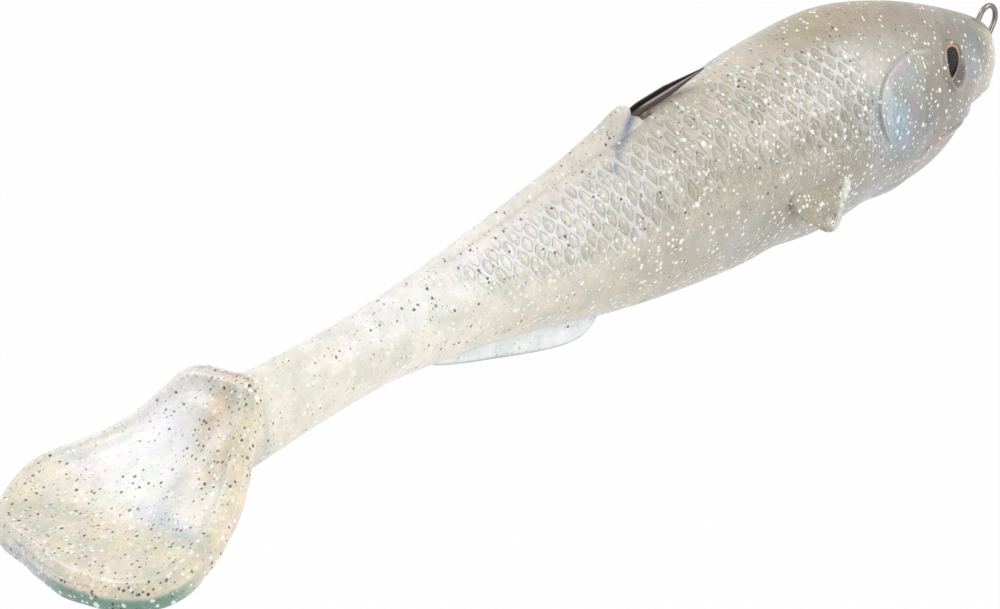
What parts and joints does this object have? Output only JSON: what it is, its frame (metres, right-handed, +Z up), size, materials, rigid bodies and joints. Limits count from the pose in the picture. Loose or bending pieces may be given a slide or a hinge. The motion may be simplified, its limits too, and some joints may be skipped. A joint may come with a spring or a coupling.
{
  "type": "swimbait",
  "caption": "Soft paddle-tail swimbait in flaked pearl plastic: wire line tie on the nose, lead inside, and a hook buried in the body with its point along the back.",
  "frame": {"origin": "middle of the loop of the line tie, the wire eye on the nose that the line or snap is tied to; the lure hangs and is pulled from there", "axes": "+X forward out of the nose, +Z up through the back, +Y to the fish's left; the mid-plane is y = 0"},
  "size_m": [0.2095, 0.0376, 0.0397],
  "materials": {
    "soft_plastic": "soft translucent pearl vinyl, moulded, with silver and dark flakes in it",
    "stainless_wire": "bright drawn stainless wire",
    "hook_wire": "black nickel plated steel",
    "lead": "cast lead, dull",
    "eye_foil": "printed foil, a copper ring on silver",
    "eye_pupil": "black print",
    "eye_lens": "clear domed resin"
  },
  "bodies": {
    "trunk": {"trunk": "soft_plastic", "body_bend": "soft_plastic", "dorsal_fin": "soft_plastic", "anal_fin": "soft_plastic", "pectoral_web_right": "soft_plastic", "pectoral_web_left": "soft_plastic", "harness_wire": "stainless_wire", "ballast_weight": "lead", "hook": "hook_wire", "eye_foil_right": "eye_foil", "eye_foil_left": "eye_foil", "eye_pupil_right": "eye_pupil", "eye_pupil_left": "eye_pupil", "eye_lens_right": "eye_lens", "eye_lens_left": "eye_lens"},
    "tail": {"tail_stock": "soft_plastic", "tail_neck": "soft_plastic"},
    "paddle": {"tail_paddle": "soft_plastic"},
    "right_pectoral": {"pectoral_fin_right": "soft_plastic"},
    "left_pectoral": {"pectoral_fin_left": "soft_plastic"}
  },
  "joints": [
    {"name": "tail_sway", "type": "hinge", "parent": "trunk", "child": "tail", "pos_m": [-0.12629, 0, -0.0095], "axis": [0, 0, 1], "range_deg": [-30, 30], "stiffness_Nm_per_rad": 0.02, "deforming": ["body_bend", "dorsal_fin", "anal_fin"]},
    {"name": "paddle_kick", "type": "hinge", "parent": "tail", "child": "paddle", "pos_m": [-0.169, 0, -0.014], "axis": [0, 0, 1], "range_deg": [-25, 25], "stiffness_Nm_per_rad": 0.006, "deforming": ["tail_neck"]},
    {"name": "right_pectoral_flap", "type": "hinge", "parent": "trunk", "child": "right_pectoral", "pos_m": [-0.06125, -0.01333, -0.01146], "axis": [1, 0, 0], "range_deg": [-30, 12], "stiffness_Nm_per_rad": 0.0002, "deforming": ["pectoral_web_right"]},
    {"name": "left_pectoral_flap", "type": "hinge", "parent": "trunk", "child": "left_pectoral", "pos_m": [-0.06125, 0.01333, -0.01146], "axis": [-1, 0, 0], "range_deg": [-30, 12], "stiffness_Nm_per_rad": 0.0002, "deforming": ["pectoral_web_left"]}
  ]
}
